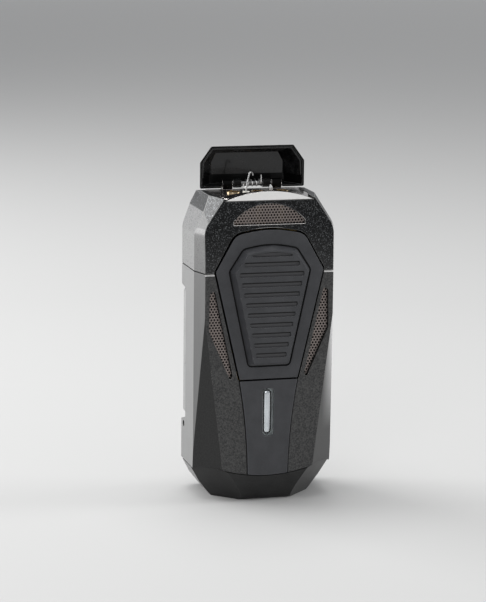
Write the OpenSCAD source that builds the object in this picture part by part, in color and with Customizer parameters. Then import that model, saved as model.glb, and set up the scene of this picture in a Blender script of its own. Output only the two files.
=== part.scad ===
// Pocket torch lighter with three jets, a hinged lid, a thumb trigger and a fold-out leaf.
// Origin at the centre of the base face, +Z up, front towards -Y, millimetres.

/* [Body] */
// Height from the base to the shoulder edge
body_h = 73; // [70:0.5:88]
// Width across the side faces
body_w = 34.2; // [32:0.2:42]
// Depth in front of the vertical axis
front_d = 10; // [9.5:0.1:12]
// Depth behind the vertical axis
back_d = 9.4; // [9:0.1:12]
// Thickness of the case walls
wall = 1.3; // [1:0.05:1.6]
// Height of the head above the cross seam
head_h = 17.4; // [16.5:0.1:19]
// Gap that shows between two case pieces
seam_gap = 0.2; // [0.1:0.05:0.3]

/* [Shoulders and edges] */
// Angle of the shoulders from the vertical
shoulder_angle = 27.5; // [24:0.5:32]
// Radius of the bend where a shoulder starts
shoulder_bend = 4; // [2:0.5:8]
// How far each shoulder comes in at its top
shoulder_in = 4.15; // [3:0.05:5]
// Width of the narrow front edge strips
front_edge_w = 1.45; // [1.2:0.05:2]
// Depth of the narrow front edge strips
front_edge_d = 5.1; // [4.5:0.1:6]
// Width of the rear bevels
rear_edge_w = 2.5; // [1.5:0.1:3]
// Depth of the rear bevels
rear_edge_d = 2.4; // [1.5:0.1:3]
// How far the head leans back at its top
head_lean = 0.9; // [0:0.1:1.2]
// Half width of the front face at the foot of the corner facets
facet_foot = 11.2; // [10:0.1:14]
// Height where the corner facets run out
facet_top = 45; // [38:0.5:50]

/* [Bottom cap] */
// Height of the cap seam at the middle of the front
cap_low = 6.1; // [5:0.1:7]
// Height of the cap seam on the side faces
cap_side = 7.4; // [6.5:0.1:8.5]
// Height of the cap seam at the front corners
cap_corner = 8; // [7:0.1:9]
// Radius of the cap seam's curve on the front
cap_curve_r = 37; // [30:1:60]
// Half width of the base face
base_half = 12; // [10:0.1:13]
// Half width of the base's front edge between the corner facets
base_front_half = 6.2; // [5:0.1:9]
// Width of the cap's rear bevels
cap_bevel_w = 3.2; // [2.6:0.1:4]
// Depth of the cap's rear bevels
cap_bevel_d = 4; // [3:0.1:5]
// How far the front and back edges of the base are rolled under
base_roll = 2.4; // [1:0.1:3]
// Height over which those edges are rolled under
base_roll_h = 7; // [4:0.1:7.5]

/* [Trigger] */
// Half width of the trigger at its widest
trigger_half = 13.1; // [12:0.1:14]
// Half width of the trigger at its lower end
trigger_low_half = 7.1; // [6:0.1:8]
// Length of the trigger below its widest point
trigger_low = 26; // [24:0.1:28]
// Height of the trigger above its widest point
trigger_rise = 10.1; // [9:0.1:10.5]
// Gap around the trigger and the front panel
trigger_gap = 0.42; // [0.3:0.01:0.5]
// Thickness of the trigger plate
trigger_t = 1.6; // [1.4:0.05:1.9]
// How far the trigger and panel stand out of the front face
proud = 0.2; // [0:0.05:0.4]
// Height of the thumb pad above the trigger
pad_h = 2.0; // [1.5:0.1:2.4]
// Half width of the thumb pad at its widest
pad_half = 9.7; // [9:0.1:10.5]
// Spacing of the grooves in the pad
groove_pitch = 2.42; // [2.2:0.02:2.6]
// Height of one groove
groove_w = 1.15; // [0.8:0.05:1.4]
// How far the trigger swings when pressed
trigger_swing = 6; // [4:0.5:6]

/* [Vents and window] */
// Radius of the curved top of the head vent
head_vent_r = 11.3; // [10:0.1:13]
// Half width of the head vent
head_vent_half = 8.7; // [7:0.1:9]
// Length of the fuel window
window_l = 11.6; // [8:0.1:12]
// Width of the fuel window
window_w = 2.7; // [2:0.1:3]
// Thickness of the perforated sheets
mesh_t = 0.4; // [0.3:0.05:0.6]

/* [Lid] */
// Length of the lid from its rear wall to its front wall
lid_l = 10.1; // [9.5:0.1:11.5]
// Height of the closed lid
lid_h = 6; // [5.8:0.1:7]
// How far the lid's walls lean in over its height
lid_taper = 3.2; // [2:0.1:3.6]
// Thickness of the lid's metal skin
lid_skin = 0.45; // [0.35:0.05:0.6]
// Thickness of the lid's inner liner
liner_t = 0.35; // [0.3:0.05:0.5]
// Radius of the lid hinge pin
lid_pin_r = 0.5; // [0.4:0.05:0.6]

/* [Burner] */
// Spacing of the three jets
jet_pitch = 6; // [5.6:0.1:7]
// Outside radius of a jet
jet_r = 1.6; // [1.5:0.05:1.7]
// Height of the crest over the shoulder edge
crest_h = 1.6; // [1:0.1:2.2]

/* [Leaf] */
// Thickness of the fold-out leaf
leaf_t = 2.6; // [2:0.1:2.8]
// Height of the leaf's recess above the base
leaf_foot = 18.4; // [17:0.1:20]
// Radius of the round opening in the leaf
leaf_hole_r = 8; // [6:0.1:9]
// Radius of the leaf's cross pin
leaf_pin_r = 0.75; // [0.6:0.05:0.9]

/* [Fits] */
// Radial clearance of a turning or sliding fit
run = 0.05; // [0.02:0.01:0.08]
// Clearance between pieces that pass each other
clear = 0.3; // [0.2:0.05:0.4]

/* [Hidden] */
$fn = 48;

// Case
half_w = body_w / 2;
front_y = -front_d;
back_y = back_d;
front_half = half_w - front_edge_w;
side_front = front_y + front_edge_d;
back_half = half_w - rear_edge_w;
side_back = back_y - rear_edge_d;
seam_z = body_h - head_h;
seam_bevel = 0.35;
top_half = half_w - shoulder_in;
edge_angle = shoulder_angle + 6.5;
edge_bend = shoulder_bend + 2;
edge_in = shoulder_in + 0.55;
edge_turn = atan2(front_edge_w, front_edge_d);
lean_z = seam_z + 2.4;
lean_slope = head_lean / (body_h - lean_z);
far = 60;
skin_y = front_y - proud;

// Trigger and panel
vertex_z = seam_z + 0.3;
trigger_foot = vertex_z - trigger_low;
trigger_back = skin_y + trigger_t;
trigger_pin_r = 0.75;
trigger_pin = [trigger_back + 1.6, trigger_foot + 2.1];
ear_x = [5.4, 6.6];
panel_low_half = 4.9;
panel_t = trigger_t - 0.2;
pad_slope = 0.85;
pad_foot = trigger_foot + 3.3;
pad_low_half = 4.9;
pad_front = skin_y - pad_h;
groove_depth = 0.5;
groove_margin = 0.9;
pad_gap = 0.4;
groove_count = 10;

// Head vent, side vents
head_vent_foot = body_h - 6.2;
head_vent_top = head_vent_foot + 4.9;
mesh_y = front_y + 0.95;

// Burner
deck_z = body_h - 0.1;
deck_t = 1.5;
crest_half = top_half - 2.3;
jet_y = 1.5;
jet_top = body_h + 0.2;
jet_bore_r = 0.9;
manifold_top = body_h - 8;
manifold_h = 3.5;
manifold_half_d = 2.7;
post_x = jet_pitch / 2;
post_y = jet_y - 0.6;

// Lid: pivot as [y, z], mouth plane in front of the open lid
lid_gap = 0.3;
lid_pivot = [back_y - 1.9, body_h + 1.3];
lid_cut = [2.75, 3.8];
hinge_relief = 0.4;
knuckle_r = 1;
spring_x = 2.4;
lid_knuckle_x = [2.7, 4.6];
case_knuckle_x = [4.9, 7.3];

// Inner works
floor_z = cap_side + 2.4;
tank_top = trigger_foot - 0.9;
cheek_x = [9.2, 10.4];
chassis_back = 1.5;
piezo_x = 1.5;
piezo_size = [6.2, 5.4];
web_t = 1.2;
piezo_y = chassis_back - web_t - piezo_size[1] / 2;
piezo_foot = tank_top + 1.5;
piezo_top = trigger_pin[1] + 13.5;
plunger_size = [4.8, 4.4];
cam_rise = 1.5;
nose_r = 0.8;
nose = [trigger_pin[0] + 3.2, trigger_pin[1] + 20.5];
nose_gap = 0.15;
cam_unit = sqrt(1 + pow(cam_rise, 2));
cam_point = [nose[0] + (nose_r + nose_gap) * cam_rise / cam_unit, nose[1] - (nose_r + nose_gap) / cam_unit];
stem_x = -6.2;
stem_y = trigger_back + 4.6;
stem_r = 0.8;
lever_pin_r = 0.6;
lever_reach = 3;
lever_pin = [stem_y + lever_reach, tank_top + 7];
lever_arm_x = [-4.7, -3.7];
lever_tine_x = [-8.7, -7.7];
lever_nose = [trigger_back + 0.9, lever_pin[1] + 6.5];
collar_z = lever_pin[1] - 0.6;
tube_r = 0.8;
tube_foot = collar_z + 2;
dial_x = 5.6;
dial_r = 3;
refill_x = -5.6;
refill_r = 2.4;
screw_y = 4.6;

// Leaf: cross pin as [y, z]
recess_y = 3.1;
cheek_drop = 1.2;
recess_top = seam_z - 5.6;
leaf_front = recess_y + clear;
leaf_pin = [leaf_front + leaf_t / 2, leaf_foot - 2];
leaf_half = half_w - 0.2;
leaf_low = leaf_pin[1] + (side_back - leaf_pin[0]) + 0.25;
leaf_top = recess_top - 0.4;
tail_half = half_w - 2.1;
channel_half = tail_half + clear;
channel_foot = leaf_pin[1] - leaf_t / 2 - clear;
hole_z = (leaf_low + leaf_top) / 2 - 1;
blade_t = 0.6;

steel = [0.62, 0.62, 0.63];
brass = [0.72, 0.58, 0.32];
slate = [0.25, 0.26, 0.29];
charcoal = [0.2, 0.2, 0.21];

// Outline helpers
function unit(v) = v / norm(v);

function inset(pts, d) = [
    for (i = [0:len(pts) - 1]) let (
        n = len(pts),
        a = unit(pts[i] - pts[(i + n - 1) % n]),
        b = unit(pts[(i + 1) % n] - pts[i]),
        na = [-a[1], a[0]],
        m = unit(na + [-b[1], b[0]])
    ) pts[i] + m * d / (m * na)
];

function corner(a, b, c, r, steps = 6) = r == 0 ? [b] : let (
    u = unit(a - b),
    v = unit(c - b),
    half = acos(u * v) / 2,
    centre = b + unit(u + v) * r / sin(half),
    s = b + u * r / tan(half) - centre,
    e = b + v * r / tan(half) - centre,
    sweep = atan2(s[0] * e[1] - s[1] * e[0], s * e)
) [
    for (i = [0:steps]) let (t = sweep * i / steps)
        centre + [s[0] * cos(t) - s[1] * sin(t), s[0] * sin(t) + s[1] * cos(t)]
];

// Points are [x, z, corner radius]
function rounded(pts) = [
    for (i = [0:len(pts) - 1]) let (
        n = len(pts),
        a = pts[(i + n - 1) % n],
        b = pts[i],
        c = pts[(i + 1) % n]
    ) each corner([a[0], a[1]], [b[0], b[1]], [c[0], c[1]], b[2])
];

// Right half from the foot up, the point at the top, then the mirrored left half
function both_sides(half, apex) = concat(half, [apex], [
    for (i = [len(half) - 1:-1:0]) [-half[i][0], half[i][1], half[i][2]]
]);

function slot_outline(w, low, high) = rounded([
    [w / 2, low, w * 0.3], [w / 2, high, w * 0.3], [-w / 2, high, w * 0.3], [-w / 2, low, w * 0.3]
]);

// Sweep of a round wire along points
function along(p, i) = unit(p[min(i + 1, len(p) - 1)] - p[max(i - 1, 0)]);

function ring(c, t, side, r, n) = let (u = unit(cross(t, side)), v = cross(t, u)) [
    for (k = [0:n - 1]) c + r * (cos(360 * k / n) * u + sin(360 * k / n) * v)
];

module wire(p, r, side, n = 8) {
    last = len(p) - 1;
    polyhedron(
        points = [for (i = [0:last]) each ring(p[i], along(p, i), side, r, n)],
        faces = concat(
            [[for (k = [0:n - 1]) k]],
            [for (i = [0:last - 1], k = [0:n - 1]) let (j = (k + 1) % n, a = i * n, b = a + n)
                [a + j, a + k, b + k]],
            [for (i = [0:last - 1], k = [0:n - 1]) let (j = (k + 1) % n, a = i * n, b = a + n)
                [a + j, b + k, b + j]],
            [[for (k = [n - 1:-1:0]) last * n + k]]
        )
    );
}

// Extrudes an [x, z] outline between two depths
module slab(y0, y1) translate([0, y1, 0]) rotate([90, 0, 0]) linear_extrude(y1 - y0) children();

// Extrudes a [y, z] outline between two widths
module across(x0, x1) translate([x0, 0, 0]) rotate([90, 0, 90]) linear_extrude(x1 - x0) children();

module rod(x0, x1, at, r) translate([x0, at[0], at[1]]) rotate([0, 90, 0]) cylinder(r = r, h = x1 - x0);

module both_x() {
    children();
    mirror([1, 0, 0]) children();
}

// Case form
// Plan whose rear bevels run on past the sides and the back
function bevelled(w, depth) = [
    [-half_w - w, -far], [half_w + w, -far], [half_w + w, back_y - 2 * depth],
    [half_w - 2 * w, back_y + depth], [2 * w - half_w, back_y + depth], [-half_w - w, back_y - 2 * depth]
];

profile = [
    [front_y, -1], [back_y, -1], [back_y, body_h + 10],
    [front_y + head_lean + 10 * lean_slope, body_h + 10], [front_y, lean_z]
];

facet_a = [front_half, front_y, facet_top];
facet_b = [facet_foot, front_y, cap_side + 1];
facet_c = [half_w, side_front + 0.4, cap_side + 1];
facet_n = unit(cross(facet_b - facet_a, facet_c - facet_a));

// Upright side that bends inwards and runs straight to the top
function bend_start(r, angle, inward) =
    body_h - r * sin(angle) - (inward - r * (1 - cos(angle))) / tan(angle);

module bent_limit(x, r, angle, inward, d) {
    start = bend_start(r, angle, inward);
    bend = [
        for (i = [0:8]) let (t = angle * i / 8) [x - r + (r - d) * cos(t), start + (r - d) * sin(t)]
    ];
    top = bend[8] + far / 2 * [-sin(angle), cos(angle)];
    polygon(concat([[x - 2 * far, -far], [x - d, -far]], bend, [top, [x - 2 * far, top[1]]]));
}

module case_form(d) {
    difference() {
        intersection() {
            translate([0, 0, -1])
                linear_extrude(body_h + 1) polygon(inset(bevelled(rear_edge_w, rear_edge_d), d));
            across(-far, far) polygon(inset(profile, d));
            side_limit(d);
            mirror([1, 0, 0]) side_limit(d);
            edge_limit(d);
            mirror([1, 0, 0]) edge_limit(d);
        }
        both_x() plane_cut(facet_a, facet_n, d);
    }
}

module side_limit(d) slab(-far, far) bent_limit(half_w, shoulder_bend, shoulder_angle, shoulder_in, d);

module edge_limit(d)
    translate([half_w, side_front, 0])
        rotate([0, 0, -edge_turn])
            slab(-far, far) bent_limit(0, edge_bend, edge_angle, edge_in, d);

// Everything outside the plane through a point with an outward normal
module plane_cut(point, normal, d)
    translate(point - d * normal)
        rotate([0, -asin(normal[2]), atan2(normal[1], normal[0])])
            translate([0, -far, -far]) cube([far, 2 * far, 2 * far]);

module levels(z0, z1) translate([-far, -far, z0]) cube([2 * far, 2 * far, z1 - z0]);

// Everything above the curved seam of the bottom cap
seam_knee = 12.2;
function seam_at(x) = cap_low + cap_curve_r - sqrt(pow(cap_curve_r, 2) - x * x);

module above_cap(lift) slab(-far, far) polygon(concat(
    [[far, body_h], [-far, body_h], [-far, cap_side + lift], [-half_w, cap_side + lift]],
    [[-front_half, cap_corner + lift]],
    [for (i = [-12:12]) let (x = seam_knee * i / 12) [x, seam_at(x) + lift]],
    [[front_half, cap_corner + lift], [half_w, cap_side + lift], [far, cap_side + lift]]
));

// Rear recess that the leaf folds into
module recess(grow) {
    across(-far, far) polygon([
        [recess_y - grow, leaf_foot - grow], [side_back, leaf_foot - cheek_drop - grow],
        [far, leaf_foot - cheek_drop - grow], [far, recess_top + grow + 0.5],
        [side_back, recess_top + grow + 0.5], [recess_y + 0.5, recess_top + grow],
        [recess_y - grow, recess_top + grow]
    ]);
    across(-channel_half - grow, channel_half + grow) polygon([
        [recess_y - grow, channel_foot - grow], [far, channel_foot - grow],
        [far, leaf_foot + 1], [recess_y - grow, leaf_foot + 1]
    ]);
    translate([-far, side_back - grow, channel_foot - grow])
        cube([2 * far, far, leaf_foot + 1 - channel_foot + grow]);
}

trigger_outline = rounded(both_sides([
    [trigger_low_half, trigger_foot, 0.3],
    [trigger_half, vertex_z, 1],
    [trigger_half - 4.8, vertex_z + trigger_rise - 1.5, 3.4]
], [0, vertex_z + trigger_rise, 25]));

panel_top = trigger_foot - trigger_gap;
panel_side = [
    for (i = [0:8]) let (t = i / 8)
        [
            panel_low_half + (trigger_low_half - panel_low_half) * t * t,
            cap_low - 1 + (panel_top - cap_low + 1) * t
        ]
];
panel_outline = concat(panel_side, [for (i = [8:-1:0]) [-panel_side[i][0], panel_side[i][1]]]);

module front_opening() slab(front_y - 5, front_y + wall + 2) {
    polygon(inset(trigger_outline, -trigger_gap));
    polygon(inset(panel_outline, -trigger_gap / 2));
    translate([-trigger_low_half, trigger_foot - 1]) square([2 * trigger_low_half, 2]);
}

module head_vent(d) intersection() {
    translate([0, head_vent_top - head_vent_r]) circle(r = head_vent_r - d, $fn = 96);
    translate([-head_vent_half + d, head_vent_foot + d]) square([2 * (head_vent_half - d), 20]);
}

side_vent = rounded([
    [9.3, seam_z - 26, 0.3], [14.65, seam_z - 13.9, 2], [14.5, seam_z - 4.8, 0.6],
    [13.3, seam_z - 4, 0.5], [8.8, seam_z - 24.6, 0.4]
]);

module head_shell() color(charcoal) difference() {
    intersection() {
        case_form(0);
        levels(seam_z, body_h);
    }
    intersection() {
        case_form(wall);
        levels(seam_z - 1, body_h + 1);
    }
    front_opening();
    slab(front_y - 2, 0) head_vent(0);
    translate([-crest_half - 0.1, front_y - 1, deck_z - 0.5])
        cube([2 * crest_half + 0.2, front_edge_d + 3.2, 4]);
    translate([-top_half - clear, lid_pivot[0] - 1.3, body_h - hinge_relief])
        cube([2 * (top_half + clear), 6, 2]);
}

module housing() color([0.27, 0.27, 0.29]) difference() {
    intersection() {
        case_form(0);
        levels(0, seam_z - seam_gap);
        above_cap(seam_gap);
    }
    difference() {
        case_form(wall);
        recess(wall);
    }
    recess(0);
    front_opening();
    both_x() slab(front_y - 2, 0) polygon(side_vent);
    rod(-half_w - 1, half_w + 1, leaf_pin, leaf_pin_r);
    seam_chamfer();
}

// Small bevel on the housing's upper front edge
module seam_chamfer() {
    top = seam_z - seam_gap;
    across(-far, far) polygon([
        [front_y - 1, top - seam_bevel - 1], [front_y + seam_bevel + 1, top + 1], [front_y - 1, top + 1]
    ]);
}

// Right side of the cap from above the seam down to the base, as [x, z]
base_bend = [half_w - 2.2, 3.6];
base_sides = [
    base_bend + 3 * [half_w - base_bend[0], cap_side - base_bend[1]], base_bend,
    [base_half + 0.9, 1], [base_half, 0]
];

// Inset and height of the rolled front and back edges, from the base up
roll = concat(
    [for (i = [0:7]) let (t = 90 * i / 8) [base_roll * (1 - sin(t)), base_roll_h * (1 - cos(t))]],
    [[-0.5, 2 * base_roll_h]]
);

// Three points on each front corner facet of the cap
cap_facet_a = [facet_foot + 0.2, front_y, cap_side + 1.9];
cap_facet_b = [base_front_half, front_y + base_roll - 0.6, 0.2];
cap_facet_c = [half_w, side_front + 0.6, cap_side + 1.7];
cap_facet_n = unit(cross(cap_facet_b - cap_facet_a, cap_facet_c - cap_facet_a));

module cap_form(d) difference() {
    intersection() {
        case_form(d);
        slab(-far, far) polygon(inset(concat(
            [for (i = [len(base_sides) - 1:-1:0]) base_sides[i]],
            [for (p = base_sides) [-p[0], p[1]]]
        ), d));
        translate([0, 0, -1]) linear_extrude(far) polygon(inset(bevelled(cap_bevel_w, cap_bevel_d), d));
    }
    both_x() plane_cut(cap_facet_a, cap_facet_n, d);
}

// Front and back of the cap, rolled under at the base
module rolled_edges() across(-far, far) polygon(concat(
    [for (i = [len(roll) - 1:-1:0]) [front_y + roll[i][0], roll[i][1]]],
    [for (p = roll) [back_y - p[0], p[1]]]
));

module bottom_cap() color([0.17, 0.17, 0.18]) difference() {
    intersection() {
        cap_form(0);
        rolled_edges();
        levels(0, cap_side + 4);
    }
    above_cap(0);
    intersection() {
        cap_form(wall + 0.7);
        levels(wall + 2.2, body_h);
    }
    translate([refill_x, 0, -1]) cylinder(r = refill_r + 0.1, h = 20);
    translate([dial_x, 0, -1]) cylinder(r = dial_r + clear, h = 4.4);
    translate([dial_x, 0, -1]) cylinder(r = 1.1 + run, h = 20);
    for (y = [-screw_y, screw_y]) {
        translate([0, y, -1]) cylinder(r = 1.6, h = 2.2);
        translate([0, y, 0]) cylinder(r = 0.8, h = 12);
    }
}

module front_panel() color(slate) difference() {
    intersection() {
        slab(skin_y, skin_y + panel_t) polygon(panel_outline);
        above_cap(seam_gap);
    }
    slab(skin_y - 1, skin_y + 5) window_outline(0);
}

window_top = trigger_foot - 2.4;
module window_outline(d) polygon(inset(slot_outline(window_w, window_top - window_l, window_top), d));

module window_lens() color([0.75, 0.78, 0.8]) slab(front_y, skin_y + panel_t + 0.1) window_outline(0.05);

module head_vent_mesh() color(steel) slab(mesh_y + 0.35, mesh_y + 0.35 + mesh_t) head_vent(0.05);

module right_vent_mesh() color(steel) slab(mesh_y, mesh_y + mesh_t) polygon(inset(side_vent, 0.05));

module left_vent_mesh() mirror([1, 0, 0]) right_vent_mesh();

// Half width of the deck beside the front edge strips, where they stand at their narrowest
edge_slope = front_edge_w / front_edge_d;
function limit_at(r, angle, inward, d) = half_w - r + (r - d) * cos(angle)
    - (deck_z - bend_start(r, angle, inward) - (r - d) * sin(angle)) * tan(angle);
edge_foot_x = limit_at(edge_bend, edge_angle, edge_in, wall) - seam_gap / cos(edge_turn) - 0.1;
function deck_edge(y) = edge_foot_x + edge_slope * (y - side_front);
deck_half = limit_at(shoulder_bend, shoulder_angle, shoulder_in, wall) - seam_gap;
deck_break = side_front + (deck_half - edge_foot_x) / edge_slope;
deck_front = front_y + head_lean + wall + seam_gap;
deck_back = back_y - wall - seam_gap;

// Chrome deck: plate, crest along its front, and the two fixed hinge knuckles
module burner_deck() color([0.85, 0.85, 0.86]) difference() {
    union() {
        translate([0, 0, deck_z - deck_t]) linear_extrude(deck_t) polygon([
            [-deck_edge(deck_front), deck_front], [deck_edge(deck_front), deck_front],
            [deck_half, deck_break], [deck_half, deck_back],
            [-deck_half, deck_back], [-deck_half, deck_break]
        ]);
        crest();
        both_x() {
            rod(case_knuckle_x[0], case_knuckle_x[1], lid_pivot, knuckle_r);
            translate([case_knuckle_x[0], lid_pivot[0] - knuckle_r, deck_z - 0.1])
                cube([case_knuckle_x[1] - case_knuckle_x[0], 2 * knuckle_r, lid_pivot[1] - deck_z + 0.1]);
        }
    }
    for (i = [-1:1])
        translate([i * jet_pitch, jet_y, deck_z - 5]) cylinder(r = jet_r + run, h = 10);
    translate([-post_x, post_y, deck_z - 5]) cylinder(r = 0.9, h = 10);
    translate([post_x, post_y, deck_z - 5]) cylinder(r = 0.5, h = 10);
    rod(-far, far, lid_pivot, lid_pin_r);
}

crest_rise = crest_h + 0.5;
crest_r = (pow(crest_half, 2) + pow(crest_rise, 2)) / (2 * crest_rise);

module crest() intersection() {
    slab(front_y, side_front + 2) intersection() {
        translate([0, body_h + crest_h - crest_r]) circle(r = crest_r, $fn = 240);
        translate([-crest_half, deck_z - 0.4]) square([2 * crest_half, 5]);
    }
    across(-far, far) polygon([
        [front_y + head_lean, deck_z - 0.4], [side_front + 1.5, deck_z - 0.4],
        [side_front + 1.5, deck_z], [front_y + head_lean + 0.7, body_h + crest_h + 0.2],
        [front_y + head_lean, body_h + crest_h + 0.2]
    ]);
}

// One jet: stepped tube with its bore and side air holes
module jet(x) color(brass) translate([x, jet_y, 0]) difference() {
    union() {
        translate([0, 0, manifold_top]) cylinder(r = jet_r, h = jet_top - manifold_top);
        translate([0, 0, manifold_top]) cylinder(r = jet_r + 0.35, h = 1.2);
    }
    translate([0, 0, manifold_top - 1]) cylinder(r = jet_bore_r, h = far);
    translate([0, 0, jet_top - 0.5]) cylinder(r = jet_r - 0.35, h = 1);
    translate([-far / 2, 0, manifold_top + 2.4]) rotate([0, 90, 0]) cylinder(r = 0.5, h = far);
}

module jet_left() jet(-jet_pitch);

module jet_centre() jet(0);

module jet_right() jet(jet_pitch);

module manifold() color(brass) difference() {
    translate([-cheek_x[0], jet_y - manifold_half_d, manifold_top - manifold_h])
        cube([2 * cheek_x[0], 2 * manifold_half_d, manifold_h]);
    for (i = [-1:1])
        translate([i * jet_pitch, jet_y, manifold_top - 1.8]) cylinder(r = jet_bore_r, h = 3);
    rod(-cheek_x[0] + 1, cheek_x[0] - 1, [jet_y, manifold_top - 1.6], 0.5);
    translate([stem_x, jet_y - 0.5, manifold_top - manifold_h - 1]) cylinder(r = tube_r - 0.3, h = 2.4);
}

module insulator() color([0.93, 0.92, 0.88]) translate([-post_x, post_y, manifold_top]) {
    cylinder(r = 0.85, h = deck_z + 0.3 - manifold_top);
    cylinder(r = 1.0, h = 1);
}

electrode_top = body_h + 5;
module electrode() color(steel) translate([-post_x, post_y, 0]) wire([
    [0, 0, deck_z + 0.3], [0, 0, deck_z + 1.2], [0.55, 0, electrode_top - 1.5],
    [0.75, 0, electrode_top - 0.5], [1, 0, electrode_top - 0.2], [1.35, 0, electrode_top - 0.3],
    [1.55, 0, electrode_top - 0.65], [1.6, 0, electrode_top - 1]
], 0.2, [0, 1, 0]);

module ground_post() color(steel) translate([post_x, post_y, 0]) {
    translate([0, 0, manifold_top]) cylinder(r = 0.5, h = deck_z - manifold_top + 1);
    translate([0, 0, deck_z + 1]) cylinder(r1 = 0.5, r2 = 0.2, h = 0.8);
}

// Lid drawn closed, then opened about its pivot
lid_back = lid_pivot[0] + 1;
lid_plan = [
    [top_half, lid_back, 0.4], [-top_half, lid_back, 0.4],
    [-top_half, lid_back - lid_l + lid_cut[1], 0.6], [-top_half + lid_cut[0], lid_back - lid_l, 0.6],
    [top_half - lid_cut[0], lid_back - lid_l, 0.6], [top_half, lid_back - lid_l + lid_cut[1], 0.6]
];

module opened() translate([0, lid_pivot[0], lid_pivot[1]])
    rotate([-90, 0, 0]) translate([0, -lid_pivot[0], -lid_pivot[1]]) children();

// The lid's tapered form; the rear wall stays upright
module lid_form(d, low) {
    mouth = inset(rounded(lid_plan), d);
    hull() {
        translate([0, 0, low]) linear_extrude(0.01) polygon(mouth);
        translate([0, 0, body_h + lid_gap + lid_h - d - 0.01]) linear_extrude(0.01)
            polygon(lid_roof(d));
    }
}

function lid_roof(d) = inset([
    [top_half - lid_taper, lid_back], [-top_half + lid_taper, lid_back],
    [-top_half + lid_taper, lid_back - lid_l + lid_cut[1] + 0.5],
    [-top_half + lid_cut[0] + lid_taper * 0.6, lid_back - lid_l + lid_taper * 0.45],
    [top_half - lid_cut[0] - lid_taper * 0.6, lid_back - lid_l + lid_taper * 0.45],
    [top_half - lid_taper, lid_back - lid_l + lid_cut[1] + 0.5]
], d);

// Room at the rear edge for the fixed knuckles and the spring
module knuckle_room(grow) {
    both_x() translate([case_knuckle_x[0] - clear, lid_pivot[0] - 1.6, body_h - 1])
        cube([case_knuckle_x[1] - case_knuckle_x[0] + 2 * clear, 4, 3.9 + grow]);
    translate([-spring_x - 0.2, lid_pivot[0] - 1.6, body_h - 1]) cube([2 * spring_x + 0.4, 4, 3.9 + grow]);
}

module lid_shell() color(charcoal) opened() {
    difference() {
        lid_form(0, body_h + lid_gap);
        lid_form(lid_skin, body_h + lid_gap - 0.1);
        knuckle_room(0);
    }
    both_x() difference() {
        union() {
            rod(lid_knuckle_x[0], lid_knuckle_x[1], lid_pivot, knuckle_r);
            translate([lid_knuckle_x[0], lid_pivot[0] - 0.2, lid_pivot[1]])
                cube([lid_knuckle_x[1] - lid_knuckle_x[0], 0.9, 4.2]);
        }
        rod(0, far, lid_pivot, lid_pin_r + run);
    }
}

module lid_liner() color([0.03, 0.03, 0.03]) opened() difference() {
    intersection() {
        lid_form(lid_skin, body_h + lid_gap - 0.1);
        levels(body_h + lid_gap + 0.3, far * 3);
    }
    lid_form(lid_skin + liner_t, body_h + lid_gap - 0.1);
    knuckle_room(1);
    translate([-far / 2, lid_pivot[0] - 1.6, body_h - 1]) cube([far, 4, 20]);
}

module lid_pin() color(steel) rod(-case_knuckle_x[1], case_knuckle_x[1], lid_pivot, lid_pin_r);

lid_spring_turns = 4;
module lid_spring() color(steel) wire(concat(
    [
        [-spring_x + 0.2, lid_pivot[0] - 0.8, deck_z + 0.25],
        [-spring_x + 0.2, lid_pivot[0] - 0.8, lid_pivot[1] - 0.4]
    ],
    [for (i = [0:16 * lid_spring_turns]) let (a = 180 + 22.5 * i) [
        -spring_x + 0.3 + (2 * spring_x - 0.6) * i / (16 * lid_spring_turns),
        lid_pivot[0] + 0.8 * cos(a), lid_pivot[1] + 0.8 * sin(a)
    ]],
    [
        [spring_x - 0.2, lid_pivot[0] - 0.8, lid_pivot[1] + 0.6],
        [spring_x - 0.2, lid_pivot[0] - 0.8, lid_pivot[1] + 2]
    ]
), 0.16, [1, 0, 0], 6);

// Trigger plate with two ears for its pin and two working arms
module trigger_frame() color(slate) difference() {
    union() {
        slab(skin_y, trigger_back) polygon(trigger_outline);
        both_x() across(ear_x[0], ear_x[1]) ear_side();
        across(piezo_x - 1.6, piezo_x + 1.6) arm_side(nose, nose_r);
        rod(piezo_x - 1.6, piezo_x + 1.6, nose, nose_r);
    }
    rod(-far, far, trigger_pin, trigger_pin_r + run);
    slab(skin_y - 1, skin_y + 0.5) difference() {
        polygon(inset(pad_outline, -pad_gap));
        polygon(pad_outline);
    }
}

module ear_side() {
    translate(trigger_pin) circle(r = 1.5);
    translate([trigger_back - 0.2, trigger_pin[1] - 1.5]) square([1.8, 3]);
}

module arm_side(tip, r)
    translate([trigger_back - 0.2, tip[1] - r]) square([tip[0] - trigger_back + 0.2, 2 * r]);

pad_outline = rounded(both_sides([
    [pad_low_half, pad_foot, 0.8], [pad_half, vertex_z, 1.2],
    [pad_half - 3.3, vertex_z + 5.1, 1.6]
], [0, vertex_z + 6.4, 20]));

function pad_half_at(z) = z < vertex_z
    ? pad_low_half + (pad_half - pad_low_half) * (z - pad_foot) / (vertex_z - pad_foot) - pad_slope
    : pad_half - 3.3 * (z - vertex_z) / 5.1 - pad_slope;

module thumb_pad() color(slate) difference() {
    hull() {
        slab(skin_y - 0.01, skin_y) polygon(pad_outline);
        slab(pad_front, pad_front + 0.01) polygon(inset(pad_outline, pad_slope));
    }
    for (i = [0:groove_count - 1])
        groove(pad_foot + 2.8 + i * groove_pitch);
    slab(pad_front - 1, pad_front + groove_depth) intersection() {
        top_z = pad_foot + 2.8 + (groove_count - 0.1) * groove_pitch;
        translate([0, top_z + 0.65 - 22]) circle(r = 22, $fn = 240);
        translate([-4.9, top_z - 0.4]) square([9.8, 3]);
    }
}

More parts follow.
